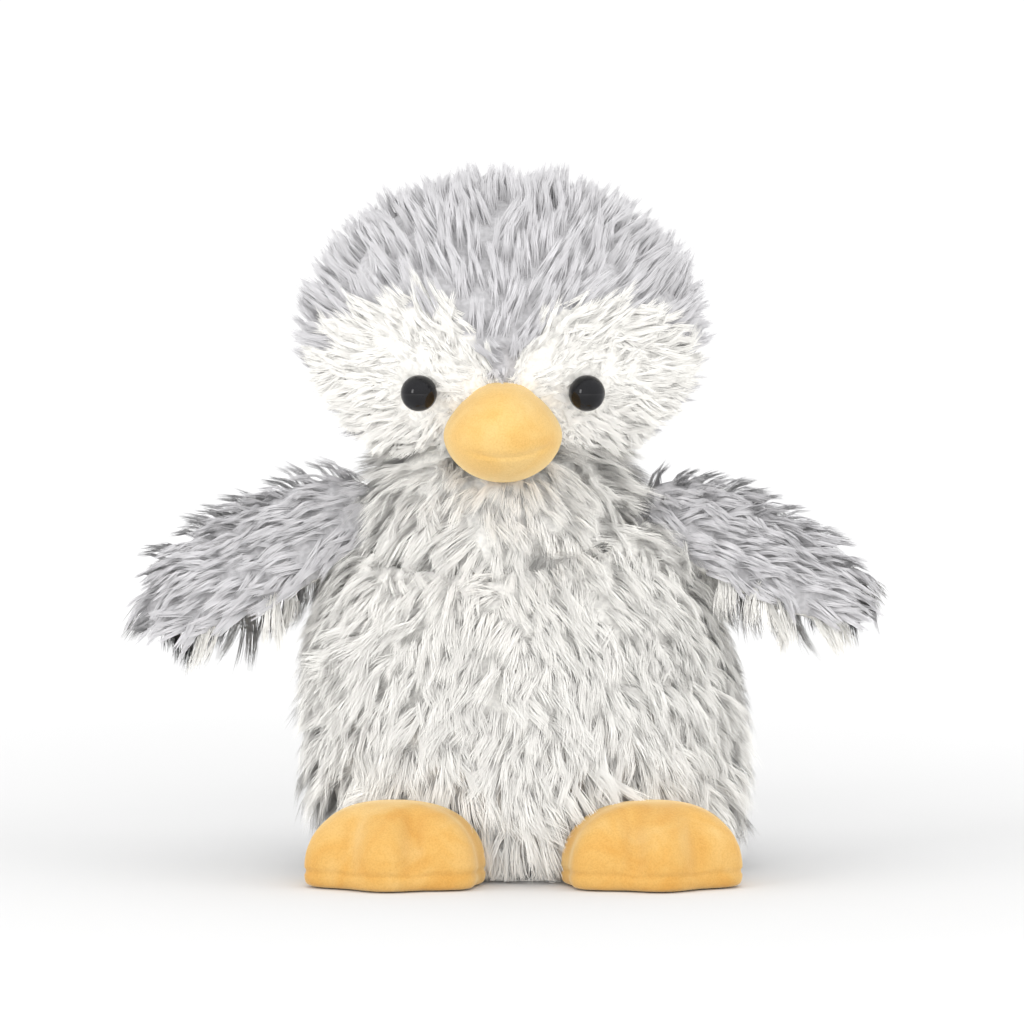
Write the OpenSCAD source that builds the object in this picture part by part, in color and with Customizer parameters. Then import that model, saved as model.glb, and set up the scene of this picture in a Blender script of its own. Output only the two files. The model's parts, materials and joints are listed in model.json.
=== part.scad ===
/* [Torso] */
// Width of the torso over its flattened pile
body_w = 94; // [90:1:98]
// Depth of the torso
body_d = 80; // [77:1:83]
// Height of the full egg that the torso is cut from
body_h = 128; // [124:1:132]
// Height of the torso's widest level
body_mid_z = 34; // [32:1:36]
// Sideways offset of the torso's widest level from the head
body_x = 4.5; // [3:0.5:5]
// Sideways tilt of the torso, degrees
body_tilt = 7; // [5:1:8]
// Thickness of backing cloth and flattened pile
skin_t = 2.4; // [2:0.1:3]
// How far round behind the middle the side seams run, degrees
side_seam_turn = 15; // [10:1:20]

/* [Neck] */
// Radius of the neck wad that the head moves on
neck_r = 29.4; // [28.5:0.1:29.8]
// Height of the head's turning point
neck_z = 74; // [73:1:75]

/* [Head] */
// Width of the head over its flattened pile
head_w = 87; // [84:1:90]
// Depth of the head
head_d = 75; // [72:1:78]
// Height of the head
head_h = 67; // [66:1:69]
// Height of the head's middle
head_z = 119.5; // [119:0.5:120.5]
// Radius of each round cheek patch
cheek_r = 19.5; // [18.5:0.5:20.5]
// Height of the middle of the cheek patches
cheek_z = 107.5; // [106.5:0.5:108.5]

/* [Eyes] */
// Diameter of the eye dome
eye_d = 8; // [7:0.5:9]
// Distance between the eyes
eye_pitch = 36.8; // [34:0.2:39]
// Height of the eyes
eye_z = 107.5; // [106:0.5:109]
// Diameter of the shank behind the dome
shank_d = 4; // [3.5:0.1:4.2]
// Length of the shank
shank_l = 11; // [10:1:12]

/* [Beak] */
// Width of the beak
beak_w = 26.5; // [24:0.5:28]
// Height of the beak
beak_h = 22; // [20:0.5:23]
// Full length of the egg that the beak is cut from
beak_l = 34; // [32:1:36]
// Height of the middle of the beak
beak_z = 98.7; // [98:0.1:99.5]
// Thickness of the velour
velour_t = 1.2; // [1:0.1:1.4]

/* [Wings] */
// Distance of each wing tip from the middle
wing_tip_x = 79; // [76:1:81]
// Width of the wing across its flat
wing_chord = 25; // [22:1:26]
// Thickness of the wing
wing_t = 12; // [10:1:13]
// Droop below the horizontal, degrees
wing_droop = 27; // [24:1:29]
// Forward lean of the left wing's upper face, degrees
left_wing_pitch = 28; // [20:1:50]
// Forward lean of the right wing's upper face, degrees
right_wing_pitch = 42; // [20:1:50]
// Distance of each shoulder seam from the torso's own middle
shoulder_reach = 33; // [32.5:0.5:34]
// Height of the shoulder seams
shoulder_z = 81.3; // [80.5:0.1:82]

/* [Feet] */
// Width of a foot
foot_w = 40; // [38:1:41]
// Length of a foot
foot_l = 32; // [30:1:33]
// Height of a foot
foot_h = 18.5; // [17:0.5:19]
// Distance between the middles of the feet
foot_pitch = 56; // [54:1:58]
// Outward turn of a foot, degrees
foot_splay = 10; // [0:1:12]
// Width of the notch between two toes
toe_notch = 4; // [3:0.5:5]

/* [Hidden] */
$fn = 120;

// The soles and the base rest on z = 0, and the toes and the back are equally far from y = 0
toe_reach = 55;
mid_y = (toe_reach - body_d / 2) / 2;
seam_gap = 0.6;
fill_gap = 0.2;
big = 200;

neck_pivot = [0, mid_y, neck_z];
neck_band_low = 60;
neck_band_high = 98;
head_mid = [0, mid_y - 1, head_z];
shoulder_y = mid_y - 2;
seam_roll_r = 2.4;
seam_roll_l = 16;
wing_inner_end = 6;
wing_skin_t = 1.8;
wing_root_lean = 39;

ankle_y = mid_y - 26;
ankle_z = 3;
ankle_roll_r = 2.5;
ankle_roll_l = 24;
foot_bow_r = 23;
foot_bow_side = 1;
foot_mid_y = ankle_y - 13;

throat_h = 30;
throat_inset = 3;

mouth_z = beak_z - 3;
beak_y = head_mid[1] - 30;
beak_root = beak_l / 6;

washer_d = 10;
washer_t = 1.2;
washer_back = 7.8;
washer_pocket = 2;
ridge_first = 7;
ridge_t = 0.4;
ridge_h = 0.1;

pouch_mid = [body_x, mid_y + 4, 17];
pouch_size = [50, 36, 24];
pouch_t = 1;

stitch_r = 0.4;
stitch_l = 5;
stitch_step = 4;
stitch_low = 24;
stitch_high = 56;

// Distance from the front of the head's middle to its outside at height z and offset x
function head_front(x, z, inset) =
  (head_d / 2 - inset)
  * sqrt(1 - pow(x / (head_w / 2 - inset), 2) - pow((z - head_z) / (head_h / 2 - inset), 2));
eye_y = head_mid[1] - head_front(eye_pitch / 2, eye_z, 0);

// Half depth of the torso's egg at height z
function body_back(z) = body_d / 2 * sqrt(1 - pow((z - body_mid_z) / (body_h / 2), 2));

// Middle of the leaning torso's level slice at height z
function body_axis_x(z) =
  body_x
  - (z - body_mid_z) * sin(body_tilt) * cos(body_tilt) * (pow(body_h, 2) - pow(body_w, 2))
  / (pow(body_h * cos(body_tilt), 2) + pow(body_w * sin(body_tilt), 2));

// Where each shoulder seam is, and how long its wing is
function shoulder_x(side) = body_axis_x(shoulder_z) + side * shoulder_reach;
function wing_l(side) = (wing_tip_x - side * shoulder_x(side)) / cos(wing_droop);

module egg(w, d, h) {
  scale([w / 2, d / 2, h / 2]) sphere(r = 1);
}

// A slab between two heights
module slab(z_low, z_high) {
  translate([-big / 2, -big / 2, z_low]) cube([big, big, z_high - z_low]);
}

// Everything in front of y
module in_front_of(y) {
  translate([-big / 2, y - big, -big / 2]) cube([big, big, 2 * big]);
}

// Everything to the left of x
module left_of(x) {
  translate([x - big, -big / 2, -big / 2]) cube([big, big, 2 * big]);
}

// The room in the belly above each ankle, where the foot bends up
module foot_bows(margin) {
  for (side = [-1, 1]) {
    intersection() {
      translate([body_x + side * foot_pitch / 2, ankle_y, ankle_z]) {
        rotate([0, 90, 0]) {
          cylinder(r = foot_bow_r + margin, h = foot_w + 2 * (foot_bow_side + margin), center = true);
        }
      }
      in_front_of(ankle_y + ankle_roll_r + margin);
    }
  }
}

// The whole egg that the torso is cut from
module torso_egg(inset) {
  translate([body_x, mid_y, body_mid_z]) {
    rotate([0, -body_tilt, 0]) {
      rotate([0, 0, 90]) egg(body_d - 2 * inset, body_w - 2 * inset, body_h - 2 * inset);
    }
  }
}

// The torso before it is hollowed for the neck, inset from its outside
module torso_block(inset) {
  difference() {
    intersection() {
      torso_egg(inset);
      slab(inset, body_mid_z + body_h);
    }
    foot_bows(inset);
  }
}

// The torso, inset from its outside
module torso(inset) {
  difference() {
    torso_block(inset);
    translate(neck_pivot) sphere(r = neck_r + seam_gap);
  }
}

module torso_skin() {
  difference() {
    torso(0);
    torso_block(skin_t);
    slab(-1, skin_t);
  }
}

// Everything in front of the two side seams, which meet in the torso's own axis
module front_room() {
  translate([body_x, mid_y, body_mid_z]) {
    rotate([0, -body_tilt, 0]) {
      for (turn = [-side_seam_turn, side_seam_turn]) {
        rotate([0, 0, turn]) in_front_of(0);
      }
    }
  }
}

module belly_panel() {
  color("ivory")
  intersection() {
    torso_skin();
    front_room();
  }
}

module back_skin() {
  difference() {
    torso_skin();
    front_room();
  }
}

module back_panel_left() {
  color("silver")
  intersection() {
    back_skin();
    left_of(body_x);
  }
}

module back_panel_right() {
  color("silver")
  difference() {
    back_skin();
    left_of(body_x);
  }
}

module base_panel() {
  color("whitesmoke")
  intersection() {
    torso(0);
    slab(-1, skin_t);
  }
}

module closing_stitches() {
  color("gray")
  for (z = [stitch_low : stitch_step : stitch_high]) {
    translate([body_x, mid_y + body_back(z), z]) {
      rotate([0, 90, 0]) cylinder(r = stitch_r, h = stitch_l, center = true);
    }
  }
}

module body_stuffing() {
  color("white")
  difference() {
    torso(skin_t + fill_gap);
    pouch_egg(-fill_gap);
  }
}

// The pouch's outside, inset
module pouch_egg(inset) {
  translate(pouch_mid) {
    egg(pouch_size[0] - 2 * inset, pouch_size[1] - 2 * inset, pouch_size[2] - 2 * inset);
  }
}

module bean_pouch() {
  color("linen")
  difference() {
    pouch_egg(0);
    pouch_egg(pouch_t);
  }
}

module bean_fill() {
  color("lightgray") pouch_egg(pouch_t + fill_gap);
}

// The rolled seam, sewn along the torso's side, that a wing bends on
module shoulder_seam(side) {
  color("silver")
  difference() {
    translate([shoulder_x(side), shoulder_y, shoulder_z]) {
      rotate([90, 0, 0]) cylinder(r = seam_roll_r, h = seam_roll_l, center = true);
    }
    torso_egg(0);
  }
}

module ankle_seam(side) {
  color("goldenrod")
  difference() {
    translate([body_x + side * foot_pitch / 2, ankle_y, ankle_z]) {
      rotate([0, 90, 0]) cylinder(r = ankle_roll_r, h = ankle_roll_l, center = true);
    }
    torso(0);
  }
}

module neck_panel() {
  color("ivory")
  intersection() {
    translate(neck_pivot) {
      difference() {
        sphere(r = neck_r);
        sphere(r = neck_r - skin_t);
      }
    }
    slab(neck_band_low, neck_band_high);
  }
}

module neck_stuffing() {
  color("white")
  translate(neck_pivot) sphere(r = neck_r - skin_t - fill_gap);
}

// The whole egg that the head is cut from
module head_egg(inset) {
  translate(head_mid) egg(head_w - 2 * inset, head_d - 2 * inset, head_h - 2 * inset);
}

// The head, inset from its outside, hollowed where it sits on the neck
module head_form(inset) {
  difference() {
    head_egg(inset);
    translate(neck_pivot) sphere(r = neck_r + seam_gap);
  }
}

// The holes for the eye shanks and the dimples that the domes sit in
module eye_holes() {
  for (side = [-1, 1]) {
    translate([side * eye_pitch / 2, eye_y, eye_z]) {
      sphere(d = eye_d + 2 * fill_gap);
      rotate([-90, 0, 0]) cylinder(d = shank_d + 2 * fill_gap, h = shank_l + eye_d / 2 + 1);
    }
  }
}

module head_skin() {
  difference() {
    head_form(0);
    head_egg(skin_t);
    eye_holes();
  }
}

// One cheek's outline, as seen from the front
module cheek_outline(side) {
  intersection() {
    union() {
      translate([side * cheek_r, cheek_z]) circle(r = cheek_r);
      translate([side * cheek_r - cheek_r + throat_inset, cheek_z - throat_h]) {
        square([2 * (cheek_r - throat_inset), throat_h]);
      }
      translate([min(0, side * cheek_r), cheek_z - throat_h]) square([cheek_r, throat_h]);
    }
    translate([min(0, side * 2 * cheek_r), 0]) square([2 * cheek_r, big]);
  }
}

module cheek_cutter(side) {
  translate([0, head_mid[1], 0]) rotate([90, 0, 0]) linear_extrude(height = head_d) cheek_outline(side);
}

module crown_panel() {
  color("silver")
  difference() {
    head_skin();
    cheek_cutter(-1);
    cheek_cutter(1);
  }
}

module cheek_panel(side) {
  color("ivory")
  intersection() {
    head_skin();
    cheek_cutter(side);
  }
}

module head_stuffing() {
  color("white")
  difference() {
    head_form(skin_t + fill_gap);
    eye_holes();
    for (side = [-1, 1]) {
      translate([side * eye_pitch / 2, eye_y, eye_z]) {
        rotate([-90, 0, 0]) {
          cylinder(d = washer_d + 2 * fill_gap, h = washer_back + washer_t + washer_pocket);
        }
      }
    }
  }
}

module eye(side) {
  color("black")
  translate([side * eye_pitch / 2, eye_y, eye_z]) {
    union() {
      sphere(d = eye_d);
      rotate([-90, 0, 0]) cylinder(d = shank_d, h = shank_l);
      for (ridge = [ridge_first : 1 : shank_l - 1]) {
        translate([0, ridge, 0]) rotate([90, 0, 0]) cylinder(r = shank_d / 2 + ridge_h, h = ridge_t);
      }
    }
  }
}

module eye_washer(side) {
  color("white")
  translate([side * eye_pitch / 2, eye_y + washer_back, eye_z]) {
    rotate([-90, 0, 0]) {
      difference() {
        cylinder(d = washer_d, h = washer_t);
        translate([0, 0, -1]) cylinder(r = shank_d / 2 + 2 * ridge_h, h = washer_t + 2);
      }
    }
  }
}

// The beak, inset from its outside and cut where it meets the face
module beak_form(inset) {
  difference() {
    translate([0, beak_y, beak_z]) egg(beak_w - 2 * inset, beak_l - 2 * inset, beak_h - 2 * inset);
    head_egg(-fill_gap);
    translate([-big / 2, beak_y + beak_root, 0]) cube([big, big, big]);
    translate(neck_pivot) sphere(r = neck_r + seam_gap);
  }
}

module beak_skin() {
  difference() {
    beak_form(0);
    beak_form(velour_t);
  }
}

module beak_upper_panel() {
  color("gold")
  intersection() {
    beak_skin();
    slab(mouth_z, head_z);
  }
}

module beak_lower_panel() {
  color("gold")
  intersection() {
    beak_skin();
    slab(0, mouth_z);
  }
}

module beak_stuffing() {
  color("white")
  beak_form(velour_t + fill_gap);
}

// One wing lies along +X from its shoulder seam before it is set on the torso
module wing_form(side, inset) {
  translate([wing_l(side) / 2 - wing_inner_end / 2, 0, 0]) {
    rotate([0, 90, 0]) {
      egg(wing_chord - 2 * inset, wing_t - 2 * inset, wing_l(side) + wing_inner_end - 2 * inset);
    }
  }
}

// The wing's root is cut to clear its seam, and slopes so that the wing can hang lower beside the torso
module place_wing(side) {
  translate([shoulder_x(side), shoulder_y, shoulder_z]) {
    mirror([side < 0 ? 1 : 0, 0, 0]) {
      difference() {
        rotate([0, wing_droop, 0]) {
          rotate([side < 0 ? -left_wing_pitch : -right_wing_pitch, 0, 0]) children();
        }
        rotate([90, 0, 0]) cylinder(r = seam_roll_r + seam_gap, h = wing_chord * 2, center = true);
        left_of(0);
        rotate([0, -wing_root_lean, 0]) left_of(0);
      }
    }
  }
}

module wing_skin_half(side, face) {
  place_wing(side) {
    intersection() {
      difference() {
        wing_form(side, 0);
        wing_form(side, wing_skin_t);
      }
      translate([-big / 2, face < 0 ? -big : 0, -big / 2]) cube([big, big, big]);
    }
  }
}

module wing_top_panel(side) {
  color("silver") wing_skin_half(side, -1);
}

module wing_under_panel(side) {
  color("ivory") wing_skin_half(side, 1);
}

module wing_stuffing(side) {
  color("white")
  place_wing(side) wing_form(side, wing_skin_t + fill_gap);
}

// A foot's domed form over its flat sole, with the toe notches
module foot_form(side, inset) {
  difference() {
    translate([body_x + side * foot_pitch / 2, foot_mid_y, 0]) {
      rotate([0, 0, side * foot_splay]) {
        difference() {
          translate([0, 0, ankle_z]) {
            egg(foot_w - 2 * inset, foot_l - 2 * inset, 2 * (foot_h - ankle_z - inset));
          }
          for (toe = [-1, 1]) {
            translate([toe * foot_w / 6, -foot_l / 2, -1]) {
              cylinder(d = toe_notch + 2 * inset, h = foot_h + 2);
            }
          }
        }
      }
    }
    slab(-big, 0);
    translate([body_x + side * foot_pitch / 2, ankle_y, ankle_z]) {
      rotate([0, 90, 0]) cylinder(r = ankle_roll_r + seam_gap, h = 2 * foot_w, center = true);
    }
    translate([-big / 2, ankle_y - inset, -1]) cube([big, big, big]);
  }
}

module foot_upper(side) {
  color("gold")
  difference() {
    foot_form(side, 0);
    foot_form(side, velour_t);
    slab(-1, velour_t);
  }
}

module foot_sole(side) {
  color("orange")
  intersection() {
    foot_form(side, 0);
    slab(-1, velour_t);
  }
}

module foot_stuffing(side) {
  color("white")
  difference() {
    foot_form(side, velour_t + fill_gap);
    slab(-1, velour_t + fill_gap);
  }
}

belly_panel();
back_panel_left();
back_panel_right();
base_panel();
closing_stitches();
body_stuffing();
bean_pouch();
bean_fill();
shoulder_seam(-1);  // left_shoulder_seam
shoulder_seam(1);  // right_shoulder_seam
ankle_seam(-1);  // left_ankle_seam
ankle_seam(1);  // right_ankle_seam
neck_panel();
neck_stuffing();
crown_panel();
cheek_panel(-1);  // left_cheek_panel
cheek_panel(1);  // right_cheek_panel
head_stuffing();
eye(-1);  // left_eye
eye(1);  // right_eye
eye_washer(-1);  // left_eye_washer
eye_washer(1);  // right_eye_washer
beak_upper_panel();
beak_lower_panel();
beak_stuffing();
wing_top_panel(-1);  // left_wing_top_panel
wing_under_panel(-1);  // left_wing_under_panel
wing_stuffing(-1);  // left_wing_stuffing
wing_top_panel(1);  // right_wing_top_panel
wing_under_panel(1);  // right_wing_under_panel
wing_stuffing(1);  // right_wing_stuffing
foot_upper(-1);  // left_foot_upper
foot_sole(-1);  // left_foot_sole
foot_stuffing(-1);  // left_foot_stuffing
foot_upper(1);  // right_foot_upper
foot_sole(1);  // right_foot_sole
foot_stuffing(1);  // right_foot_stuffing
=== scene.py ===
"""Plush penguin chick: long-pile skins on stuffed forms, velour beak and feet, glossy safety eyes."""
import json
import math

import bpy
import bmesh
import numpy as np
from mathutils import Euler, Matrix, Vector


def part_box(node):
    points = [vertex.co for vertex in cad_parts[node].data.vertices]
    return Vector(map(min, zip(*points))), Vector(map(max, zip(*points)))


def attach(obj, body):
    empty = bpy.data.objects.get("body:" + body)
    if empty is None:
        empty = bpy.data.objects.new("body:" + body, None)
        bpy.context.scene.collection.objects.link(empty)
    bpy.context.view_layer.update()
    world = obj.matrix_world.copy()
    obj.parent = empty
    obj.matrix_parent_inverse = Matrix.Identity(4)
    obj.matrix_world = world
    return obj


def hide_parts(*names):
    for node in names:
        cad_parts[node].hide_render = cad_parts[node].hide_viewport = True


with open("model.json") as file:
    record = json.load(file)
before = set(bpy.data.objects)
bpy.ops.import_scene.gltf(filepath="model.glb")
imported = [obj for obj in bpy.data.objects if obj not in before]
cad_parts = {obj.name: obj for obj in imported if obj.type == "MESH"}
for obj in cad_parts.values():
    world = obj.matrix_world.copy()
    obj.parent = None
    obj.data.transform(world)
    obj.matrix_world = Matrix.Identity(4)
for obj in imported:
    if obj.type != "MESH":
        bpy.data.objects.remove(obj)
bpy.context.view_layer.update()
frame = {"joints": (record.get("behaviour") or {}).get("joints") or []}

MM = 0.001


def box_mm(*nodes):
    """The lowest and highest corners of some CAD nodes together, in millimetres."""
    corners = [np.array(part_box(node), float) for node in nodes]
    low = np.min([c[0] for c in corners], axis=0) / MM
    high = np.max([c[1] for c in corners], axis=0) / MM
    return low, high


def joint_mm(name):
    """Where a joint turns, in millimetres."""
    joint = next(j for j in frame["joints"] if j["name"] == name)
    return np.array(joint["pos_m"], float) / MM


# ---------------------------------------------------------------- driving sizes, in millimetres
TORSO_LOW, TORSO_HIGH = box_mm("belly_panel", "back_panel_left", "back_panel_right", "base_panel")
TORSO_MID = np.array([(TORSO_LOW[0] + TORSO_HIGH[0]) / 2, (TORSO_LOW[1] + TORSO_HIGH[1]) / 2, 34.0])
TORSO_SIZE = np.array([TORSO_HIGH[0] - TORSO_LOW[0], TORSO_HIGH[1] - TORSO_LOW[1], 128.0])
TORSO_TILT = math.radians(7)
HEAD_LOW, HEAD_HIGH = box_mm("crown_panel")
HEAD_SIZE = np.array([HEAD_HIGH[0] - HEAD_LOW[0], HEAD_HIGH[1] - HEAD_LOW[1], 67.0])
HEAD_MID = np.array([0.0, (HEAD_LOW[1] + HEAD_HIGH[1]) / 2, HEAD_HIGH[2] - HEAD_SIZE[2] / 2])
NECK = joint_mm("head_nod")
NECK_R = 29.0
EYE_R = 4.0
EYES = [np.array([(box_mm(n)[0][0] + box_mm(n)[1][0]) / 2, box_mm(n)[0][1] + EYE_R,
                  (box_mm(n)[0][2] + box_mm(n)[1][2]) / 2]) for n in ("left_eye", "right_eye")]
BEAK_LOW, BEAK_HIGH = box_mm("beak_upper_panel", "beak_lower_panel")
BEAK_MID = np.array([0.0, BEAK_LOW[1] + 17.0, (BEAK_LOW[2] + BEAK_HIGH[2]) / 2])
CHEEK_R = 19.5
CHEEK_X = 21.0
CHEEK_Z = (EYES[0][2] + EYES[1][2]) / 2
SEAM_SLOPE = math.tan(math.radians(15))
SKIN_INSET = 2.2

WHITE = (0.97, 0.952, 0.905)
GREY = (0.70, 0.69, 0.705)


# ---------------------------------------------------------------- camera, light and floor
def camera():
    """A long lens, almost level, facing the toy."""
    distance, view_width, elevation = 1.80, 0.2276, math.radians(4)
    target = Vector((0.002, 0.0, 0.0797))
    data = bpy.data.cameras.new("camera")
    data.sensor_width = 36
    data.lens = data.sensor_width * distance / view_width
    data.clip_start = 0.05
    obj = bpy.data.objects.new("camera", data)
    bpy.context.scene.collection.objects.link(obj)
    obj.location = target + distance * Vector((0, -math.cos(elevation), math.sin(elevation)))
    obj.rotation_euler = (target - obj.location).to_track_quat("-Z", "Y").to_euler()
    bpy.context.scene.camera = obj


def softbox(name, location, size, power, mirrored=True, target=(0, 0, 0.08)):
    """A rectangular lamp that faces the target. Only a mirrored one shows in glossy surfaces."""
    data = bpy.data.lights.new(name, "AREA")
    data.shape = "RECTANGLE"
    data.size, data.size_y = size
    data.energy = power
    obj = bpy.data.objects.new(name, data)
    bpy.context.scene.collection.objects.link(obj)
    obj.location = location
    obj.rotation_euler = (Vector(target) - Vector(location)).to_track_quat("-Z", "Y").to_euler()
    obj.visible_glossy = mirrored


def studio():
    """White paper under an even sky: a small key at the left, and fills in front, above and beside."""
    world = bpy.data.worlds.new("studio")
    world.use_nodes = True
    world.node_tree.nodes["Background"].inputs["Color"].default_value = (1, 1, 1, 1)
    world.node_tree.nodes["Background"].inputs["Strength"].default_value = 1.06
    bpy.context.scene.world = world
    bpy.context.scene.view_settings.view_transform = "Standard"
    softbox("key", (-0.74, -0.90, 0.38), (0.24, 0.40), 2.0)
    softbox("fill", (0.15, -1.60, 0.45), (1.1, 0.9), 10.0, mirrored=False)
    softbox("top", (0.1, 0.1, 1.3), (1.2, 1.2), 2.0, mirrored=False)
    for side in (-1, 1):
        softbox("side", (1.3 * side, -0.5, 0.5), (0.8, 0.8), 4.0, mirrored=False)
    mesh = bpy.data.meshes.new("floor")
    half = 20.0
    corners = [(-half, -half, 0), (half, -half, 0), (half, half, 0), (-half, half, 0)]
    mesh.from_pydata(corners, [], [(0, 1, 2, 3)])
    floor = bpy.data.objects.new("floor", mesh)
    bpy.context.scene.collection.objects.link(floor)
    floor.data.materials.append(floor_material())


# ---------------------------------------------------------------- materials
def new_material(name):
    material = bpy.data.materials.new(name)
    material.use_nodes = True
    nodes = material.node_tree.nodes
    return material, nodes, material.node_tree.links, nodes["Principled BSDF"]


def floor_material():
    """White paper, a little greyer around the toy where the lamps are strongest."""
    material, nodes, links, shader = new_material("floor_paper")
    place = nodes.new("ShaderNodeTexCoord")
    reach = nodes.new("ShaderNodeVectorMath")
    reach.operation = "LENGTH"
    links.new(place.outputs["Object"], reach.inputs[0])
    tone = ramp(nodes, [(0.15, (0.715,) * 3), (1.0, (0.98,) * 3)])
    links.new(reach.outputs["Value"], tone.inputs["Fac"])
    links.new(tone.outputs["Color"], shader.inputs["Base Color"])
    shader.inputs["Roughness"].default_value = 0.9
    shader.inputs["Specular IOR Level"].default_value = 0.0
    return material


def ramp(nodes, stops):
    node = nodes.new("ShaderNodeValToRGB")
    for index, (place, color) in enumerate(stops):
        element = node.color_ramp.elements[index] if index < 2 else node.color_ramp.elements.new(place)
        element.position = place
        element.color = (*color, 1)
    return node


def multiply(nodes, links, first, second):
    node = nodes.new("ShaderNodeMix")
    node.data_type = "RGBA"
    node.blend_type = "MULTIPLY"
    node.inputs["Factor"].default_value = 1
    links.new(first, node.inputs["A"])
    links.new(second, node.inputs["B"])
    return node.outputs["Result"]


def shade(color, amount):
    return tuple(min(1.0, c * amount) for c in color)


def fur_material(name, color, root_painted_shade, spread, roughness):
    """Painted shade darkens each fibre towards its root along V; colour varies from lock to lock along U."""
    material, nodes, links, shader = new_material(name)
    uv = nodes.new("ShaderNodeUVMap")
    uv.uv_map = "OFBake"
    split = nodes.new("ShaderNodeSeparateXYZ")
    links.new(uv.outputs["UV"], split.inputs["Vector"])
    # painted shade: the root end, and a little of the lower half, is darker where the pile shades itself
    along = ramp(nodes, [(0.0, shade(color, root_painted_shade)), (0.55, shade(color, 0.97)), (1.0, color)])
    links.new(split.outputs["Y"], along.inputs["Fac"])
    lock = ramp(nodes, [(0.0, (1 - spread,) * 3), (0.5, (1 - spread / 3,) * 3), (1.0, (1.0, 1.0, 1.0))])
    links.new(split.outputs["X"], lock.inputs["Fac"])
    mixed = multiply(nodes, links, along.outputs["Color"], lock.outputs["Color"])
    links.new(mixed, shader.inputs["Base Color"])
    shader.inputs["Roughness"].default_value = roughness
    shader.inputs["Specular IOR Level"].default_value = 0.35
    shader.inputs["Sheen Weight"].default_value = 0.2
    shader.inputs["Sheen Roughness"].default_value = 0.4
    return material


def backing_material(name, light, dark):
    """Knitted backing cloth under the pile: the vertex tone chooses white or grey, with a fine knit."""
    material, nodes, links, shader = new_material(name)
    tone = nodes.new("ShaderNodeAttribute")
    tone.attribute_name = "tone"
    color = ramp(nodes, [(0.35, light), (0.65, dark)])
    links.new(tone.outputs["Fac"], color.inputs["Fac"])
    place = nodes.new("ShaderNodeTexCoord")
    knit = nodes.new("ShaderNodeTexNoise")
    knit.inputs["Scale"].default_value = 900
    links.new(place.outputs["Object"], knit.inputs["Vector"])
    grain = ramp(nodes, [(0.35, (0.78, 0.78, 0.78)), (0.65, (1.0, 1.0, 1.0))])
    links.new(knit.outputs["Fac"], grain.inputs["Fac"])
    mixed = multiply(nodes, links, color.outputs["Color"], grain.outputs["Color"])
    links.new(mixed, shader.inputs["Base Color"])
    shader.inputs["Roughness"].default_value = 0.95
    return material


def velour_material(name, deep, mid, light):
    """Short-pile velour: soft sheen, brushed patches a few millimetres wide and a fine pile grain."""
    material, nodes, links, shader = new_material(name)
    place = nodes.new("ShaderNodeTexCoord")
    patches = nodes.new("ShaderNodeTexNoise")
    patches.inputs["Scale"].default_value = 95
    patches.inputs["Detail"].default_value = 3
    patches.inputs["Distortion"].default_value = 0.6
    links.new(place.outputs["Object"], patches.inputs["Vector"])
    tone = ramp(nodes, [(0.30, deep), (0.48, mid), (0.72, light)])
    links.new(patches.outputs["Fac"], tone.inputs["Fac"])
    pile = nodes.new("ShaderNodeTexNoise")
    pile.inputs["Scale"].default_value = 2600
    pile.inputs["Detail"].default_value = 2
    links.new(place.outputs["Object"], pile.inputs["Vector"])
    grain = ramp(nodes, [(0.32, (0.90, 0.88, 0.84)), (0.60, (1.0, 1.0, 1.0))])
    links.new(pile.outputs["Fac"], grain.inputs["Fac"])
    mixed = multiply(nodes, links, tone.outputs["Color"], grain.outputs["Color"])
    links.new(mixed, shader.inputs["Base Color"])
    bump = nodes.new("ShaderNodeBump")
    bump.inputs["Strength"].default_value = 0.35
    bump.inputs["Distance"].default_value = 0.0002
    links.new(pile.outputs["Fac"], bump.inputs["Height"])
    links.new(bump.outputs["Normal"], shader.inputs["Normal"])
    shader.inputs["Roughness"].default_value = 0.85
    shader.inputs["Specular IOR Level"].default_value = 0.2
    shader.inputs["Sheen Weight"].default_value = 0.6
    shader.inputs["Sheen Roughness"].default_value = 0.45
    shader.inputs["Sheen Tint"].default_value = (1.0, 0.86, 0.55, 1)
    return material


def eye_material():
    material, nodes, links, shader = new_material("black_eye_plastic")
    place = nodes.new("ShaderNodeTexCoord")
    haze = nodes.new("ShaderNodeTexNoise")
    haze.inputs["Scale"].default_value = 300
    links.new(place.outputs["Object"], haze.inputs["Vector"])
    tone = ramp(nodes, [(0.3, (0.004, 0.004, 0.005)), (0.7, (0.009, 0.009, 0.011))])
    links.new(haze.outputs["Fac"], tone.inputs["Fac"])
    links.new(tone.outputs["Color"], shader.inputs["Base Color"])
    shader.inputs["Roughness"].default_value = 0.06
    shader.inputs["Specular IOR Level"].default_value = 0.3
    return material


# ---------------------------------------------------------------- mesh helpers
def smoothstep(low, high, value):
    t = np.clip((value - low) / (high - low), 0, 1)
    return t * t * (3 - 2 * t)


def link_mesh(name, vertices_mm, faces, material):
    """A smooth-shaded piece from vertices in millimetres."""
    mesh = bpy.data.meshes.new(name)
    mesh.from_pydata([tuple(v) for v in np.asarray(vertices_mm) * MM], [], faces)
    mesh.update()
    mesh.shade_smooth()
    obj = bpy.data.objects.new(name, mesh)
    bpy.context.scene.collection.objects.link(obj)
    mesh.materials.append(material)
    return obj


def ball(subdivisions):
    """Vertices and faces of a unit geodesic ball."""
    bm = bmesh.new()
    bmesh.ops.create_icosphere(bm, subdivisions=subdivisions, radius=1)
    vertices = np.array([v.co[:] for v in bm.verts])
    faces = [tuple(v.index for v in f.verts) for f in bm.faces]
    bm.free()
    return vertices, faces


def coordinates_mm(obj):
    flat = np.empty(len(obj.data.vertices) * 3)
    obj.data.vertices.foreach_get("co", flat)
    return flat.reshape(-1, 3) / MM


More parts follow.
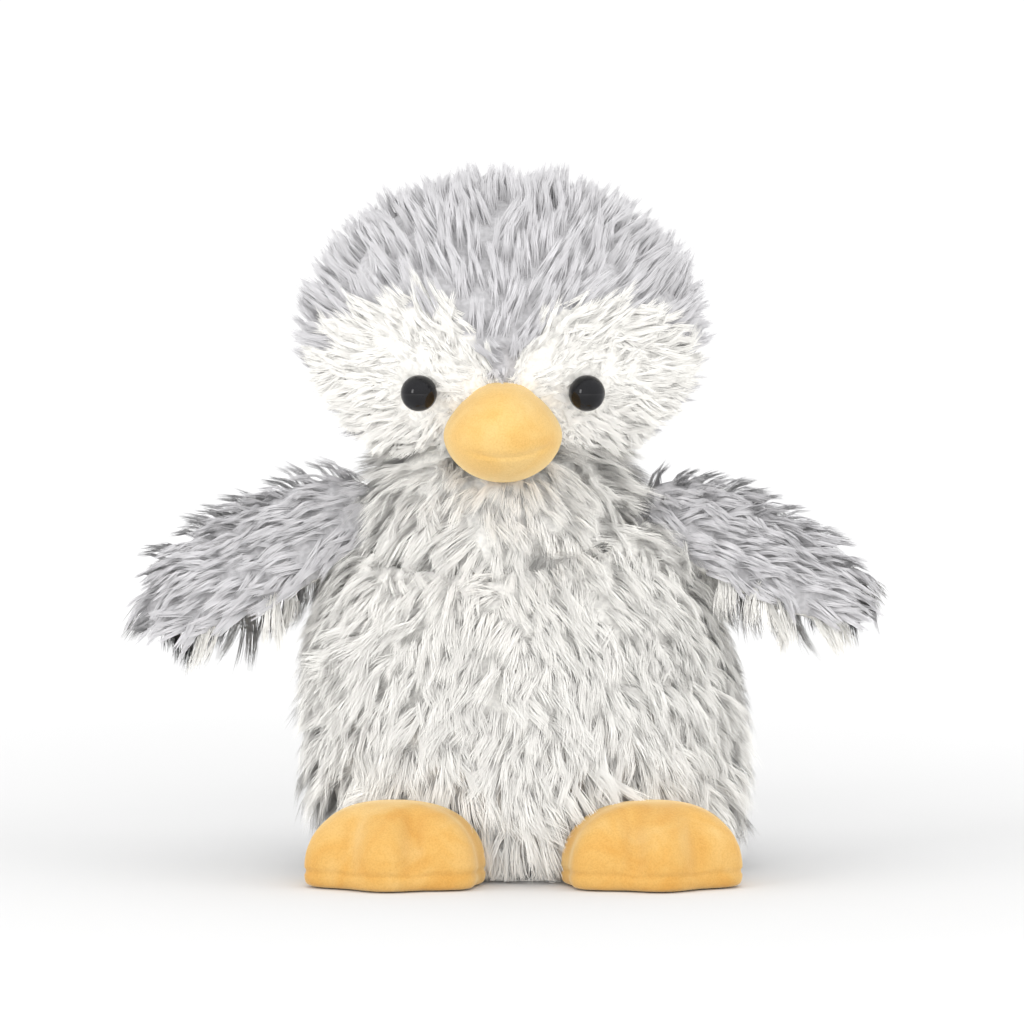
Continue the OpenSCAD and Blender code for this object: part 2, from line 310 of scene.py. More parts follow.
def set_coordinates_mm(obj, points):
    obj.data.vertices.foreach_set("co", (points * MM).ravel())
    obj.data.update()


def apply_modifiers(obj):
    depsgraph = bpy.context.evaluated_depsgraph_get()
    mesh = bpy.data.meshes.new_from_object(obj.evaluated_get(depsgraph))
    obj.modifiers.clear()
    old, obj.data = obj.data, mesh
    bpy.data.meshes.remove(old)


def remesh(obj, voxel_mm):
    modifier = obj.modifiers.new("remesh", "REMESH")
    modifier.mode = "VOXEL"
    modifier.voxel_size = voxel_mm * MM
    apply_modifiers(obj)


SIM_SCALE = 12


def puff(obj, voxel_mm, held, pressure, cap_mm):
    """Swell a stuffed form by cloth pressure between the seams that held(points in mm) holds, from 0 to 1."""
    remesh(obj, voxel_mm)
    before = coordinates_mm(obj)
    set_coordinates_mm(obj, before * SIM_SCALE)
    group = obj.vertex_groups.new(name="held")
    for index, weight in enumerate(held(before)):
        if weight > 0.01:
            group.add([index], float(weight), "REPLACE")
    cloth = obj.modifiers.new("cloth", "CLOTH")
    settings = cloth.settings
    settings.quality = 6
    settings.mass = 0.3
    settings.tension_stiffness = settings.compression_stiffness = 18
    settings.shear_stiffness = 8
    settings.bending_stiffness = 0.6
    settings.use_pressure = True
    settings.uniform_pressure_force = pressure
    settings.effector_weights.gravity = 0
    settings.vertex_group_mass = "held"
    cloth.collision_settings.use_collision = False
    scene = bpy.context.scene
    for number in range(1, 21):
        scene.frame_set(number)
    apply_modifiers(obj)
    scene.frame_set(1)
    after = coordinates_mm(obj) / SIM_SCALE
    move = after - before
    far = np.linalg.norm(move, axis=1, keepdims=True)
    move *= np.minimum(1, cap_mm / np.maximum(far, 1e-9))
    set_coordinates_mm(obj, before + move)
    obj.vertex_groups.clear()
    obj.data.shade_smooth()
    return obj


def subdivide(obj, levels=1):
    modifier = obj.modifiers.new("subdivision", "SUBSURF")
    modifier.levels = modifier.render_levels = levels
    apply_modifiers(obj)
    obj.data.shade_smooth()


def paint_tone(obj, tones):
    """Store 0 for white and 1 for grey on each vertex, for the backing material."""
    attribute = obj.data.attributes.new("tone", "FLOAT", "POINT")
    attribute.data.foreach_set("value", np.asarray(tones, np.float32))


# ---------------------------------------------------------------- pile
def scatter(obj, spacing, seed, keep):
    """Tuft roots and normals in mm, about spacing apart over the faces where keep(points, normals) is true."""
    rng = np.random.default_rng(seed)
    mesh = obj.data
    mesh.calc_loop_triangles()
    corners = np.empty(len(mesh.loop_triangles) * 3, np.int64)
    mesh.loop_triangles.foreach_get("vertices", corners)
    points = coordinates_mm(obj)[corners.reshape(-1, 3)]
    cross = np.cross(points[:, 1] - points[:, 0], points[:, 2] - points[:, 0])
    area = np.linalg.norm(cross, axis=1) / 2
    count = int(area.sum() / spacing ** 2 * 7)
    chosen = rng.choice(len(area), count, p=area / area.sum())
    u, v = rng.random((2, count, 1))
    flip = (u + v) > 1
    u, v = np.where(flip, 1 - u, u), np.where(flip, 1 - v, v)
    first, second, third = points[chosen, 0], points[chosen, 1], points[chosen, 2]
    roots = first + u * (second - first) + v * (third - first)
    normals = cross[chosen] / (2 * area[chosen, None])
    wanted = keep(roots, normals)
    roots, normals = roots[wanted], normals[wanted]
    cells, kept = {}, []
    for index, root in enumerate(roots):
        cell = tuple(np.floor(root / spacing).astype(int))
        near = (cells.get((cell[0] + i, cell[1] + j, cell[2] + k), ())
                for i in (-1, 0, 1) for j in (-1, 0, 1) for k in (-1, 0, 1))
        if all(np.sum((roots[other] - root) ** 2) > spacing ** 2 for group in near for other in group):
            cells.setdefault(cell, []).append(index)
            kept.append(index)
    return roots[kept], normals[kept]


def unit(vectors):
    return vectors / np.maximum(np.linalg.norm(vectors, axis=-1, keepdims=True), 1e-9)


STYLE = {
    "locks": 6, "fibres": 14, "width": 0.24, "spread": 2.6, "fan": 0.85, "stray": 0.6, "fray": 0.3,
    "lean": (28, 74), "turn": 14, "droop": 0.0, "curl": 0.25, "steps": (0.0, 0.5, 1.0), "seed": 1,
}


ON_FLOOR = 0.4  # how low a fibre may lie on the floor, in millimetres


def fibres(roots, normals, combs, lengths, style):
    """Fibre ring centres, side vectors and lock numbers: tufts split into locks, and locks into fibres."""
    rng = np.random.default_rng(style["seed"])
    tufts, locks, count = len(roots), style["locks"], style["fibres"]
    along = unit(combs - np.sum(combs * normals, axis=1, keepdims=True) * normals)
    side = np.cross(normals, along)
    turn = np.radians(rng.normal(0, style["turn"], (tufts, 1)))
    along, side = np.cos(turn) * along + np.sin(turn) * side, np.cos(turn) * side - np.sin(turn) * along

    def spread_disc(shape, radius):
        angle = rng.random(shape) * 2 * math.pi
        reach = np.sqrt(rng.random(shape)) * radius
        return np.stack([np.cos(angle) * reach, np.sin(angle) * reach], axis=-1)

    lock_root = spread_disc((tufts, locks), style["spread"])
    lock_tip = lock_root * style["fan"] + rng.normal(0, style["stray"], (tufts, locks, 2))
    root = (lock_root[:, :, None] + spread_disc((tufts, locks, count), style["spread"] * 0.42)).reshape(-1, 2)
    tip = (lock_tip[:, :, None] + rng.normal(0, style["fray"], (tufts, locks, count, 2))).reshape(-1, 2)
    length = lengths[:, None, None] * rng.uniform(0.86, 1.12, (tufts, 1, 1))
    length = length * rng.uniform(0.82, 1.06, (tufts, locks, 1)) * rng.uniform(0.74, 1.0, (tufts, locks, count))
    length = length.reshape(-1, 1)
    lean_low = np.radians(style["lean"][0] + rng.normal(0, 5, (tufts, 1, 1)))
    lean_high = style["lean"][1] + rng.normal(0, 7, (tufts, 1, 1)) + rng.normal(0, 5, (tufts, locks, 1))
    lean_high = np.radians(lean_high)
    lean_low = np.broadcast_to(lean_low, (tufts, locks, count)).reshape(-1, 1)
    lean_high = np.broadcast_to(lean_high, (tufts, locks, count)).reshape(-1, 1)
    phase = np.broadcast_to(rng.random((tufts, locks, 1)) * 2 * math.pi, (tufts, locks, count)).reshape(-1, 1)
    owner = np.repeat(np.arange(tufts), locks * count)
    base, up, forward, across = roots[owner] - 0.4 * normals[owner], normals[owner], along[owner], side[owner]
    rings = []
    for step in style["steps"]:
        lean = lean_low + (lean_high - lean_low) * step
        rise = (np.sin(lean) - np.sin(lean_low)) / (lean_high - lean_low)
        run = (np.cos(lean_low) - np.cos(lean)) / (lean_high - lean_low)
        offset = root * (1 - step ** 0.8) + tip * step ** 0.8
        curl = style["curl"] * step * np.sin(phase + 2.6 * step)
        centre = base + length * (rise * up + run * forward)
        centre = centre + offset[:, :1] * forward + (offset[:, 1:] + curl) * across
        centre[:, 2] -= style["droop"] * step ** 2 * length[:, 0]
        centre[:, 2] = np.maximum(centre[:, 2], ON_FLOOR)
        rings.append(centre)
    lock_tone = rng.random((tufts, 1)) * 0.55 + rng.random((tufts, locks)) * 0.45
    tone = np.repeat(lock_tone.ravel(), count) + rng.normal(0, 0.08, tufts * locks * count)
    twist = rng.normal(0, 0.25, (len(owner), 1))
    flat = unit(np.cos(twist) * across + np.sin(twist) * up)
    return rings, flat, up, np.clip(tone, 0.02, 0.98)


def taper(step):
    """Share of a fibre's width left at this step from root to tip."""
    return 1 - 0.15 * step - 0.85 * step ** 3


FIBRE_RIDGE = 0.45  # height of a fibre's ridge as a share of half its width
THROUGH_LIGHT = np.array([0.0, -0.25, 0.42])  # bends shading normals to where most light comes through


def fibre_mesh(name, rings, flat, up, tone, width, steps, material):
    """One closed three-sided tapering spike per fibre, shaded as the skin below it with light let through."""
    count, levels = len(tone), len(steps) - 1
    points, shading = [], []
    for level in range(levels):
        direction = unit(rings[level + 1] - rings[level])
        sidewise = unit(flat - np.sum(flat * direction, axis=1, keepdims=True) * direction)
        outward = np.cross(direction, sidewise)
        reach = width / 2 * taper(steps[level])
        points += [rings[level] - reach * sidewise, rings[level] + reach * sidewise]
        points.append(rings[level] + FIBRE_RIDGE * reach * outward)
        shading += [unit(0.65 * up + 0.18 * outward + THROUGH_LIGHT)] * 3
    points.append(rings[-1])
    shading.append(shading[-1])
    per_fibre = 3 * levels + 1
    vertices = np.stack(points, axis=1).reshape(-1, 3)
    pattern = [(0, 2, 1)]
    for level in range(levels - 1):
        for corner in range(3):
            a, b = 3 * level + corner, 3 * level + (corner + 1) % 3
            pattern += [(a, b, b + 3), (a, b + 3, a + 3)]
    last = 3 * (levels - 1)
    pattern += [(last + corner, last + (corner + 1) % 3, per_fibre - 1) for corner in range(3)]
    pattern = np.array(pattern)
    triangles = (np.arange(count)[:, None, None] * per_fibre + pattern[None]).reshape(-1, 3)
    half = 1 / 64
    corner_u = np.array([-half, half, 0] * levels + [0])
    corner_v = np.array([steps[level] for level in range(levels) for _ in range(3)] + [1.0])
    uv_u = (tone[:, None] + corner_u[None]).ravel()
    uv_v = np.tile(corner_v, count)
    mesh = bpy.data.meshes.new(name)
    mesh.vertices.add(len(vertices))
    mesh.vertices.foreach_set("co", (vertices * MM).astype(np.float32).ravel())
    mesh.loops.add(triangles.size)
    mesh.loops.foreach_set("vertex_index", triangles.astype(np.int32).ravel())
    mesh.polygons.add(len(triangles))
    mesh.polygons.foreach_set("loop_start", np.arange(0, triangles.size, 3, dtype=np.int32))
    mesh.update(calc_edges=True)
    layer = mesh.uv_layers.new(name="OFBake")
    uv = np.stack([uv_u[triangles.ravel()], uv_v[triangles.ravel()]], axis=1)
    layer.data.foreach_set("uv", np.clip(uv, 0.001, 0.999).astype(np.float32).ravel())
    mesh.shade_smooth()
    mesh.normals_split_custom_set_from_vertices(np.stack(shading, axis=1).reshape(-1, 3).astype(np.float32))
    mesh.materials.append(material)
    obj = bpy.data.objects.new(name, mesh)
    bpy.context.scene.collection.objects.link(obj)
    return obj


FIBRES_PER_PIECE = 17000


def grow(name, body, slot, material, roots, normals, combs, lengths, **changes):
    """Pile over some tuft roots, in as many pieces as keep each mesh moderate. All ride on one body."""
    style = {**STYLE, **changes}
    rings, flat, up, tone = fibres(roots, normals, combs, lengths, style)
    levels = len(style["steps"]) - 1
    limit = int(FIBRES_PER_PIECE * 10 / (6 * levels - 2))
    parts = max(1, math.ceil(len(tone) / limit))
    for number, chosen in enumerate(np.array_split(np.arange(len(tone)), parts), 1):
        piece_name = name if parts == 1 else f"{name}_{number}"
        piece = fibre_mesh(piece_name, [r[chosen] for r in rings], flat[chosen], up[chosen], tone[chosen],
                           style["width"], style["steps"], material)
        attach(piece, body)


# ---------------------------------------------------------------- torso
def behind_seam(points):
    """How far behind the side seams, which run a little behind the widest outline."""
    axis_x = TORSO_MID[0] - 0.056 * (points[:, 2] - TORSO_MID[2])
    return points[:, 1] - TORSO_MID[1] - SEAM_SLOPE * np.abs(points[:, 0] - axis_x)


def torso_skin(material):
    """The stuffed torso: an egg with a flat base, a hollow under the head and a dent over each foot."""
    points, faces = ball(5)
    half = TORSO_SIZE / 2 - SKIN_INSET
    points = points * half
    points = points @ np.array(Matrix.Rotation(-TORSO_TILT, 3, "Y")).T + TORSO_MID
    from_middle = np.hypot(points[:, 0] - TORSO_MID[0], points[:, 1] - TORSO_MID[1])
    points[:, 2] = np.maximum(points[:, 2], 1.0 + 0.02 * from_middle)
    from_neck = np.hypot(points[:, 0] - NECK[0], points[:, 1] - NECK[1])
    inside = np.linalg.norm(points - NECK, axis=1) < NECK_R + 1.5
    bowl = NECK[2] - np.sqrt(np.maximum((NECK_R + 1.5) ** 2 - from_neck ** 2, 0))
    points[inside, 2] = np.minimum(points[inside, 2], np.maximum(bowl[inside], 55))
    for ankle in ANKLES:
        level = 1 - smoothstep(13, 27, points[:, 2])
        near = 1 - smoothstep(15, 24, np.abs(points[:, 0] - ankle[0]))
        limit = ankle[1] - 1.0
        dent = np.maximum(0, limit - points[:, 1]) * level * near
        points[:, 1] += dent
    skin = link_mesh("torso_skin", points, faces, material)

    def held(mm):
        rim = 1 - smoothstep(0, 5, mm[:, 2])
        seam = 1 - smoothstep(0, 2.5, np.abs(behind_seam(mm)))
        neck = 1 - smoothstep(NECK_R + 2, NECK_R + 6, np.linalg.norm(mm - NECK, axis=1))
        return np.maximum.reduce([rim, seam, neck])

    puff(skin, 3.2, held, 3.0, 1.2)
    paint_tone(skin, smoothstep(-1, 1, behind_seam(coordinates_mm(skin))))
    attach(skin, "torso")
    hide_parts("belly_panel", "back_panel_left", "back_panel_right", "base_panel", "body_stuffing",
                "closing_stitches", "left_shoulder_seam", "right_shoulder_seam", "bean_pouch", "bean_fill",
                "left_ankle_seam", "right_ankle_seam")
    return skin


def over_feet(points):
    """True where a root would sit inside the room of a foot or underneath the toy."""
    blocked = points[:, 2] < 1.9
    for ankle in ANKLES:
        beside = np.abs(points[:, 0] - ankle[0]) < 19
        blocked |= beside & (points[:, 2] < 15.5) & (points[:, 1] < ankle[1] + 3)
    return blocked


def torso_fur(skin, white, grey):
    def seen(points, normals):
        cavity = np.linalg.norm(points - NECK, axis=1) < NECK_R + 1.8
        return ~over_feet(points) & ~(cavity & (normals[:, 2] > 0.45)) & (normals[:, 2] > -0.9)

    def combs_down(points):
        side = (points[:, 0] - TORSO_MID[0]) / (TORSO_SIZE[0] / 2)
        deep = (points[:, 1] - TORSO_MID[1]) / (TORSO_SIZE[1] / 2)
        return np.stack([0.40 * side, 0.25 * deep, -np.ones(len(points))], axis=1)

    roots, normals = scatter(skin, 3.8, 11, lambda p, n: seen(p, n) & (behind_seam(p) < 0))
    lengths = 10.5 - 4.0 * smoothstep(14, 2, roots[:, 2]) + 2.5 * smoothstep(36, 20, roots[:, 2])
    grow("belly_fur", "torso", "white_plush", white, roots, normals, combs_down(roots), lengths,
         seed=21, steps=(0.0, 0.36, 0.7, 1.0), fibres=19, width=0.155, lean=(20, 80), turn=28, spread=2.8,
         fan=1.0, stray=1.4, fray=0.75, curl=0.8, droop=0.12)
    roots, normals = scatter(skin, 4.4, 12, lambda p, n: seen(p, n) & (behind_seam(p) >= 0))
    lengths = 9.5 - 3.0 * smoothstep(14, 2, roots[:, 2])
    grow("back_fur", "torso", "grey_plush", grey, roots, normals, combs_down(roots), lengths,
         seed=22, lean=(25, 76))


def neck_piece(material, white, grey):
    """The gathered neck band between torso and head."""
    points, faces = ball(4)
    skin = link_mesh("neck_band", points * (NECK_R - 0.6) + NECK, faces, material)
    paint_tone(skin, smoothstep(-1, 1, behind_seam(coordinates_mm(skin))))
    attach(skin, "neck")
    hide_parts("neck_panel", "neck_stuffing")
    for name, slot, fur, rear in (("neck_fur_front", "white_plush", white, False),
                                  ("neck_fur_back", "grey_plush", grey, True)):
        def wanted(points, normals):
            level = points[:, 2] - NECK[2]
            return (level > -14) & (level < 22) & ((behind_seam(points) >= 0) == rear)

        roots, normals = scatter(skin, 3.7, 13, wanted)
        combs = np.tile([0.0, 0.0, -1.0], (len(roots), 1)) + 0.4 * normals
        grow(name, "neck", slot, fur, roots, normals, combs, np.full(len(roots), 12.5), seed=23, fibres=18,
             width=0.17, lean=(30, 72), turn=24, stray=1.4, fray=0.75, curl=0.6)


# ---------------------------------------------------------------- head
def in_cheek(points):
    """True on the white face: two round patches and the throat below them, on the front of the head."""
    circle = np.hypot(np.abs(points[:, 0]) - CHEEK_X, points[:, 2] - CHEEK_Z) < CHEEK_R
    throat = (points[:, 2] < CHEEK_Z) & (np.abs(points[:, 0]) < CHEEK_X + CHEEK_R - 3)
    return (circle | throat) & (points[:, 1] < HEAD_MID[1])


def head_skin(material):
    points, faces = ball(5)
    points = points * (HEAD_SIZE / 2 - SKIN_INSET) + HEAD_MID
    from_neck = np.hypot(points[:, 0] - NECK[0], points[:, 1] - NECK[1])
    inside = np.linalg.norm(points - NECK, axis=1) < NECK_R + 0.8
    dome = NECK[2] + np.sqrt(np.maximum((NECK_R + 0.8) ** 2 - from_neck ** 2, 0))
    points[inside, 2] = np.maximum(points[inside, 2], dome[inside])
    for eye in EYES:
        away = np.hypot(points[:, 0] - eye[0], points[:, 2] - eye[2])
        front = points[:, 1] < HEAD_MID[1]
        points[:, 1] += np.where(front, 2.0 * np.exp(-(away / 6.0) ** 2), 0)
    skin = link_mesh("head_skin", points, faces, material)

    def held(mm):
        neck = 1 - smoothstep(NECK_R + 1, NECK_R + 4, np.linalg.norm(mm - NECK, axis=1))
        eyes = [1 - smoothstep(3, 6, np.linalg.norm(mm - eye, axis=1)) for eye in EYES]
        crown = 1 - smoothstep(0, 2, np.abs(mm[:, 0]))
        return np.maximum.reduce([neck, *eyes, 0.5 * crown])

    puff(skin, 3.0, held, 3.0, 1.0)
    paint_tone(skin, 1 - in_cheek(coordinates_mm(skin)).astype(float))
    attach(skin, "head")
    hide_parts("crown_panel", "left_cheek_panel", "right_cheek_panel", "head_stuffing",
                "left_eye_washer", "right_eye_washer")
    return skin


def head_fur(skin, white, grey):
    centre = np.array([0.0, HEAD_LOW[1] - 6, BEAK_MID[2] + 1])

    def free(points, normals):
        beak = np.hypot(points[:, 0] / 12.0, (points[:, 2] - BEAK_MID[2]) / 9.8) < 1
        eyes = np.min([np.hypot(points[:, 0] - e[0], points[:, 2] - e[2]) for e in EYES], axis=0) < EYE_R + 0.7
        cavity = np.linalg.norm(points - NECK, axis=1) < NECK_R + 2.0
        return ~((beak | eyes) & (points[:, 1] < HEAD_MID[1])) & ~(cavity & (normals[:, 2] < -0.2))

    def combs_away(points, normals):
        """Away from the beak over the face and crown, and down over the back."""
        away = unit(points - centre)
        back = smoothstep(HEAD_MID[1] + 4, HEAD_MID[1] + 26, points[:, 1])[:, None]
        combs = away * (1 - back) + np.array([0.0, 0.0, -1.0]) * back
        for eye in EYES:
            offset = points - eye
            near = np.exp(-(np.linalg.norm(offset, axis=1) / 7.0) ** 2)[:, None]
            combs += 1.5 * near * unit(offset)
        return combs

    roots, normals = scatter(skin, 4.4, 14, lambda p, n: free(p, n) & ~in_cheek(p))
    beak_gap = np.hypot(roots[:, 0], roots[:, 2] - BEAK_MID[2])
    lengths = np.where(roots[:, 1] < HEAD_MID[1], 5.0 + 5.0 * smoothstep(10, 22, beak_gap), 9.5)
    grow("crown_fur", "head", "grey_plush", grey, roots, normals, combs_away(roots, normals), lengths,
         seed=24, fibres=16, lean=(24, 70), turn=13, spread=2.7, fan=0.85, stray=0.55, curl=0.25)

    roots, normals = scatter(skin, 3.1, 15, lambda p, n: free(p, n) & in_cheek(p))
    eye_gap = np.min([np.linalg.norm(roots - e, axis=1) for e in EYES], axis=0) - EYE_R
    beak_gap = np.hypot(roots[:, 0] / 13.0, (roots[:, 2] - BEAK_MID[2]) / 11.0) - 1
    lengths = np.minimum(3.2 + 6.0 * smoothstep(0, 15, eye_gap), 3.5 + 7.0 * smoothstep(0, 1.2, beak_gap))
    grow("cheek_fur", "head", "white_plush", white, roots, normals, combs_away(roots, normals), lengths,
         seed=25, fibres=13, width=0.19, lean=(30, 80), turn=22, spread=2.3, fan=0.9,
         stray=1.0, fray=0.35, curl=0.5)


# ---------------------------------------------------------------- wings
WING_TIP_X = 80.0
WING_CHORD = 24.0
WING_THICK = 11.0
WING_DROOP = math.radians(27)
WING_PITCH = {"left": math.radians(28), "right": math.radians(42)}


def wing_turn(side):
    """Rotation of a wing that lies along +X, before it is mirrored to the left."""
    return np.array(Euler((0, WING_DROOP, 0)).to_matrix() @ Euler((-WING_PITCH[side], 0, 0)).to_matrix())


def to_wing(side, points):
    """From row millimetres into the wing's own frame: +X to the tip, -Y the upper face, +Z the upper edge."""
    local = points - joint_mm(f"{side}_wing_flap")
    if side == "left":
        local = local * [-1, 1, 1]
    return local @ wing_turn(side)


def from_wing(side, points):
    placed = points @ wing_turn(side).T
    if side == "left":
        placed = placed * [-1, 1, 1]
    return placed + joint_mm(f"{side}_wing_flap")


def wing_skin(side, material):
    """A flat stuffed paddle with a round tip and a slightly narrower root."""
    points, faces = ball(4)
    root = -4.0
    tip = (WING_TIP_X - abs(joint_mm(f"{side}_wing_flap")[0])) / math.cos(WING_DROOP)
    along = (points[:, 0] + 1) / 2
    fullness = np.clip((1 - np.abs(2 * along - 1) ** 3.2), 0, 1) ** 0.5
    ring = np.maximum(np.hypot(points[:, 1], points[:, 2]), 1e-6)
    chord = WING_CHORD / 2 * (0.86 + 0.14 * np.sin(math.pi * along)) * fullness
    thick = WING_THICK / 2 * (1.0 - 0.25 * along) * fullness
    across = points[:, 1:] / ring[:, None]
    local = np.stack([root + (tip - root) * along, across[:, 0] * thick, across[:, 1] * chord], axis=1)
    placed = from_wing(side, local)
    if side == "left":
        faces = [face[::-1] for face in faces]
    skin = link_mesh(f"{side}_wing_skin", placed, faces, material)

    def held(mm):
        own = to_wing(side, mm)
        rim = 1 - smoothstep(0, 1.6, np.abs(own[:, 1]))
        return np.maximum(rim, 1 - smoothstep(0, 6, own[:, 0]))

    puff(skin, 1.6, held, 2.0, 0.8)
    own = to_wing(side, coordinates_mm(skin))
    paint_tone(skin, smoothstep(0.5, -0.5, own[:, 1]))
    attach(skin, f"{side}_wing")
    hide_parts(f"{side}_wing_top_panel", f"{side}_wing_under_panel", f"{side}_wing_stuffing")
    return skin


def wing_fur(side, skin, white, grey):
    rotation = wing_turn(side)
    outward = np.array([-1.0, 1, 1]) if side == "left" else np.ones(3)
    body = f"{side}_wing"

    def own_frame(points, normals):
        return to_wing(side, points), (normals * outward) @ rotation

    def is_top(points, normals):
        own, facing = own_frame(points, normals)
        return (facing[:, 1] < 0.25) & ~((facing[:, 2] < -0.75) & (own[:, 2] < 0))

    span = (rotation @ np.array([1.0, 0, 0])) * outward
    edge = (rotation @ np.array([0.0, 0, 1.0])) * outward
    roots, normals = scatter(skin, 3.2, 16, is_top)
    own = to_wing(side, roots)
    combs = span + np.outer(-0.25 - 0.02 * own[:, 2], edge)
    lengths = np.full(len(roots), 9.5)
    grow(f"{side}_wing_top_fur", body, "grey_plush", grey, roots, normals, combs, lengths,
         seed=26, fibres=14, lean=(30, 80), turn=13, spread=2.2, fan=0.7, stray=0.6, curl=0.4)
    roots, normals = scatter(skin, 3.9, 17, lambda p, n: ~is_top(p, n))
    own = to_wing(side, roots)
    low_edge = smoothstep(0, -9, own[:, 2])
    combs = 0.45 * span + np.outer(0.3 + low_edge, [0.0, 0.0, -1.0])
    lengths = 8.0 + 2.5 * low_edge
    grow(f"{side}_wing_under_fur", body, "white_plush", white, roots, normals, combs, lengths,
         seed=27, steps=(0.0, 0.36, 0.7, 1.0), fibres=15, width=0.15, lean=(25, 68), turn=20, spread=2.3,
         fan=0.7, stray=1.0, fray=0.7, curl=0.6, droop=0.25)


# ---------------------------------------------------------------- beak, feet and eyes
def beak(material):
    """Upper and lower velour panels, stuffed and joined along the mouth seam."""
    points, faces = ball(5)
    half = np.array([13.2, 16.6, 11.4])
    mouth = -4.2
    x, y, z = points.T
    narrow_top = 1 - 0.28 * smoothstep(-0.2, 1.0, z)
    nose = 1 - 0.10 * np.maximum(-y, 0) ** 2
    flat_top = np.minimum(z, 0.94) * half[2] + 0.9
    shaped = np.stack([x * half[0] * narrow_top * nose, y * half[1], flat_top], axis=1)
    shaped[:, 1] = np.minimum(shaped[:, 1], 4.0)
    obj = link_mesh("beak", shaped + BEAK_MID, faces, material)

    def held(mm):
        local = mm - BEAK_MID
        seam = 1 - smoothstep(0, 1.0, np.abs(local[:, 2] - mouth))
        face = smoothstep(-3.0, 0.0, local[:, 1])
        return np.maximum(seam, face)

    puff(obj, 0.8, held, 2.2, 0.9)
    mm = coordinates_mm(obj)
    local = mm - BEAK_MID
    from_mouth = local[:, 2] - mouth - 0.02 * local[:, 0] ** 2
    groove = np.exp(-(from_mouth / 0.5) ** 2) * smoothstep(1, -3, local[:, 1])
    groove *= smoothstep(11, 6, np.abs(local[:, 0] - 2))
    inward = unit(local * [1, 1, 0])
    set_coordinates_mm(obj, mm - inward * (0.55 * groove)[:, None])
    subdivide(obj)
    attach(obj, "head")
    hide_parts("beak_upper_panel", "beak_lower_panel", "beak_stuffing")


ANKLES = [joint_mm("left_foot_bend"), joint_mm("right_foot_bend")]
FOOT_WIDTH = 40.0
FOOT_LENGTH = 33.0
FOOT_RISE = 15.2  # from the widest rim to the top
RIM_HEIGHT = 3.4  # of the widest rim above the floor
SOLE_DROP = 3.2  # from the widest rim to the sole


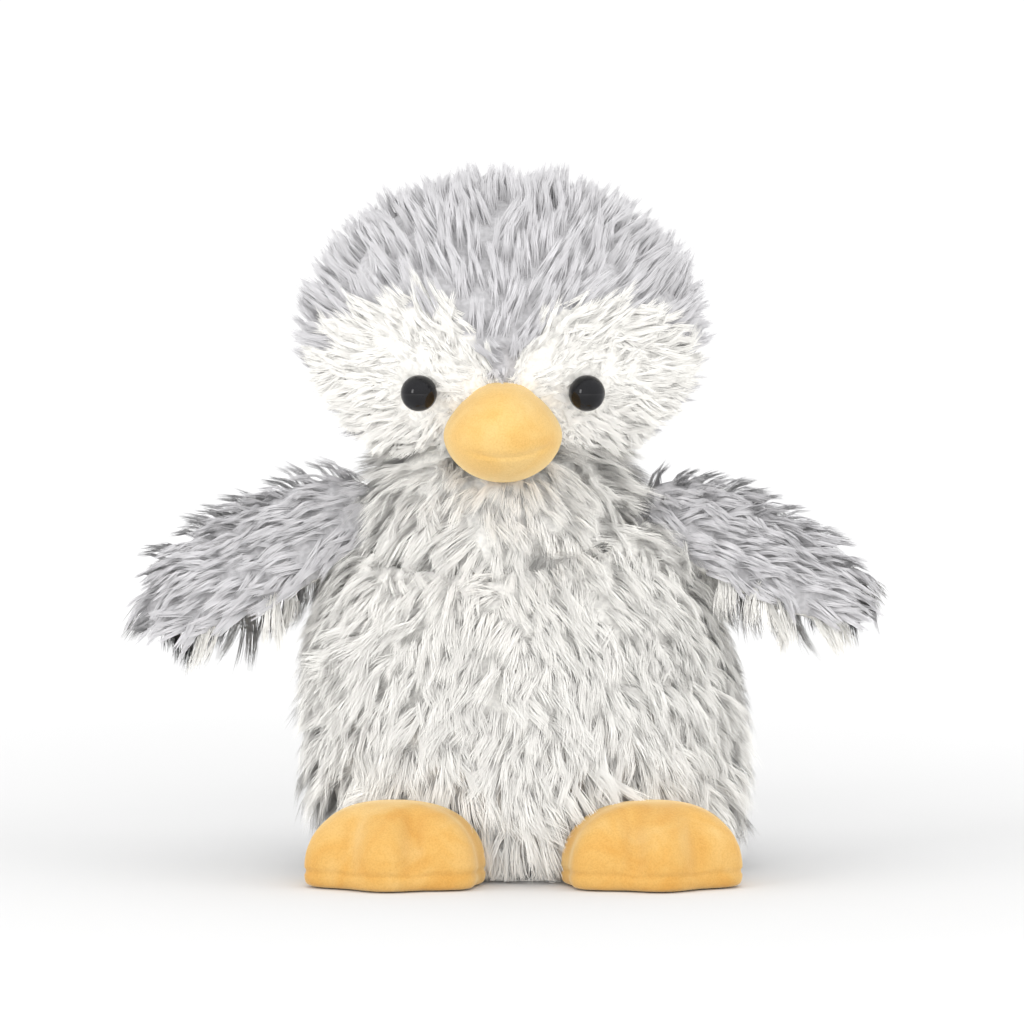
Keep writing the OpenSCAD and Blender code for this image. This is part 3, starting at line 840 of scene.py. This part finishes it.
def foot(side, material):
    """A stuffed velour pad on a flat sole, with creases between three toes."""
    ankle = ANKLES[0] if side == "left" else ANKLES[1]
    out = -1 if side == "left" else 1
    points, faces = ball(5)
    x, y, z = points.T
    angle = np.arctan2(x * out, -y)
    toes = 1 + 0.07 * np.cos(6.2 * angle) * smoothstep(1.9, 1.2, np.abs(angle))
    wide = np.hypot(x, y)
    plan = wide ** 0.8 * toes
    px, py = x / np.maximum(wide, 1e-6) * plan, y / np.maximum(wide, 1e-6) * plan
    lift = np.maximum(z, 0) ** 0.85
    above = RIM_HEIGHT + FOOT_RISE * lift
    below = RIM_HEIGHT - SOLE_DROP * np.minimum(1, np.abs(z) * 3.0) ** 0.5
    local = np.stack([px * FOOT_WIDTH / 2, py * FOOT_LENGTH / 2, np.where(z <= 0, below, above)], axis=1)
    local[:, 2] -= 1.6 * smoothstep(-4, -15, local[:, 1]) * np.maximum(z, 0) * 1.5
    turn = np.array(Matrix.Rotation(out * math.radians(10), 3, "Z"))
    middle = np.array([ankle[0], ankle[1] - 13.0, 0.0])
    obj = link_mesh(f"{side}_foot", local @ turn.T + middle, faces, material)
    creases = (-6.5, 7.0)

    def own(mm):
        return (mm - middle) @ turn * [out, 1, 1]

    def from_crease(place, line):
        return place[:, 0] - line - 0.08 * (place[:, 1] + 16)

    def held(mm):
        place = own(mm)
        sole = 1 - smoothstep(1.2, 3.2, place[:, 2])
        lines = [1 - smoothstep(0, 1.0, np.abs(from_crease(place, line))) for line in creases]
        toe = np.maximum(*lines) * smoothstep(-5, -8, place[:, 1])
        return np.maximum(sole, toe)

    puff(obj, 1.1, held, 2.4, 1.6)
    subdivide(obj)
    mm = coordinates_mm(obj)
    place = own(mm)
    front = smoothstep(-2, -12, place[:, 1]) * smoothstep(2, 7, place[:, 2])
    for line, depth in zip(creases, (2.0, 1.4)):
        dent = depth * front * np.exp(-(from_crease(place, line) / 2.2) ** 2)
        mm += dent[:, None] * [0.0, 0.8, -0.7]
    rim = 0.5 * np.exp(-((place[:, 2] - 3.6) / 0.5) ** 2)
    mm -= rim[:, None] * unit((mm - middle) * [1, 1, 0])
    mm[:, 2] = np.maximum(mm[:, 2], 0.05)
    set_coordinates_mm(obj, mm)
    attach(obj, f"{side}_foot")
    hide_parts(f"{side}_foot_upper", f"{side}_foot_sole", f"{side}_foot_stuffing")


def eyes(material):
    """Glossy domes, a little flatter than a ball, on the CAD shanks' axes."""
    for name, middle in zip(("left_eye", "right_eye"), EYES):
        points, faces = ball(5)
        shaped = points * [EYE_R, EYE_R * 0.95, EYE_R]
        shaped[:, 1] = np.minimum(shaped[:, 1], 1.6)
        obj = link_mesh(f"{name}_dome", shaped + middle, faces, material)
        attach(obj, "head")
        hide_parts(name)


# ---------------------------------------------------------------- build
camera()
studio()
# the third number is the painted shade at the fibre roots, for the shade deep in the pile
white_fur = fur_material("white_pile", WHITE, 0.96, 0.05, 0.42)
grey_fur = fur_material("grey_pile", GREY, 0.86, 0.14, 0.45)
backing = backing_material("backing_cloth", shade(WHITE, 0.95), shade(GREY, 0.8))
torso = torso_skin(backing)
torso_fur(torso, white_fur, grey_fur)
neck_piece(backing, white_fur, grey_fur)
head = head_skin(backing)
head_fur(head, white_fur, grey_fur)
for wing_side in ("left", "right"):
    wing = wing_skin(wing_side, backing)
    wing_fur(wing_side, wing, white_fur, grey_fur)
beak(velour_material("beak_velour", (0.63, 0.375, 0.11), (0.66, 0.425, 0.145), (0.68, 0.47, 0.19)))
foot_velour = velour_material("foot_velour", (0.58, 0.305, 0.07), (0.61, 0.355, 0.10), (0.65, 0.425, 0.16))
for foot_side in ("left", "right"):
    foot(foot_side, foot_velour)
eyes(eye_material())
